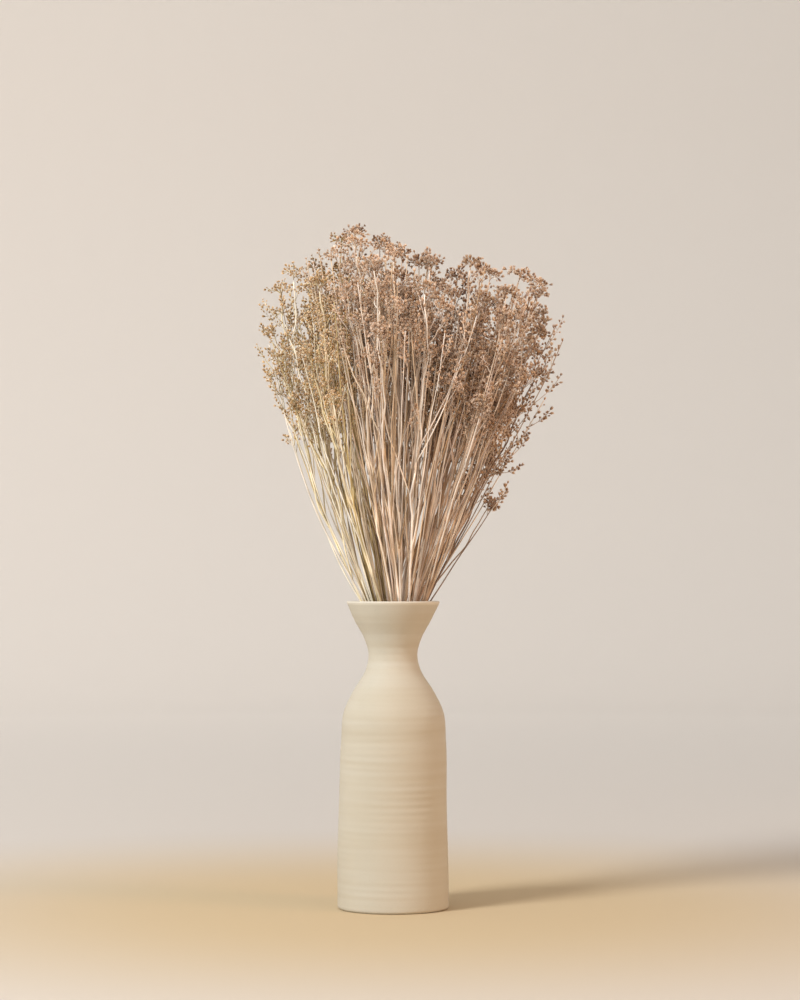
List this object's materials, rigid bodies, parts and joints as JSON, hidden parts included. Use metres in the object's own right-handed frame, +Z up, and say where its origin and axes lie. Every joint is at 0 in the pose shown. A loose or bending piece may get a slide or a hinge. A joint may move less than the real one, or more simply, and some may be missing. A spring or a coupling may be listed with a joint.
{
  "type": "dried broom bloom bunch in vase",
  "caption": "Tall dried flower bunch: thin branching stems with clusters of small dry heads, fanning out of a slender flared stoneware vase.",
  "frame": {"origin": "middle of the vase's flat foot, on the surface it stands on", "axes": "+Z up along the vase, +X to the viewer's right, +Y away from the viewer"},
  "size_m": [0.2566, 0.2734, 0.6051],
  "materials": {
    "stoneware": "matte",
    "straw_plant": "matte",
    "rosy_plant": "matte",
    "brown_plant": "matte"
  },
  "bodies": {
    "root": {"vase": "stoneware", "spray_01": "rosy_plant", "spray_02": "rosy_plant", "spray_03": "rosy_plant", "spray_04": "rosy_plant", "spray_05": "rosy_plant", "spray_06": "brown_plant", "spray_07": "rosy_plant", "spray_08": "rosy_plant", "spray_09": "brown_plant", "spray_10": "straw_plant", "spray_11": "rosy_plant", "spray_12": "rosy_plant", "spray_13": "straw_plant", "spray_14": "brown_plant", "spray_15": "rosy_plant", "spray_16": "rosy_plant", "spray_17": "brown_plant", "spray_18": "straw_plant", "spray_19": "brown_plant", "spray_20": "rosy_plant", "spray_21": "straw_plant", "spray_22": "brown_plant", "spray_23": "straw_plant", "spray_24": "rosy_plant", "spray_25": "brown_plant", "spray_26": "straw_plant", "spray_27": "brown_plant", "spray_28": "rosy_plant", "spray_29": "rosy_plant", "spray_30": "brown_plant", "spray_31": "straw_plant", "spray_32": "brown_plant", "spray_33": "rosy_plant", "spray_34": "straw_plant", "spray_35": "brown_plant", "spray_36": "straw_plant", "spray_37": "rosy_plant", "spray_38": "brown_plant", "spray_39": "straw_plant", "spray_40": "brown_plant", "spray_41": "rosy_plant"}
  },
  "joints": []
}
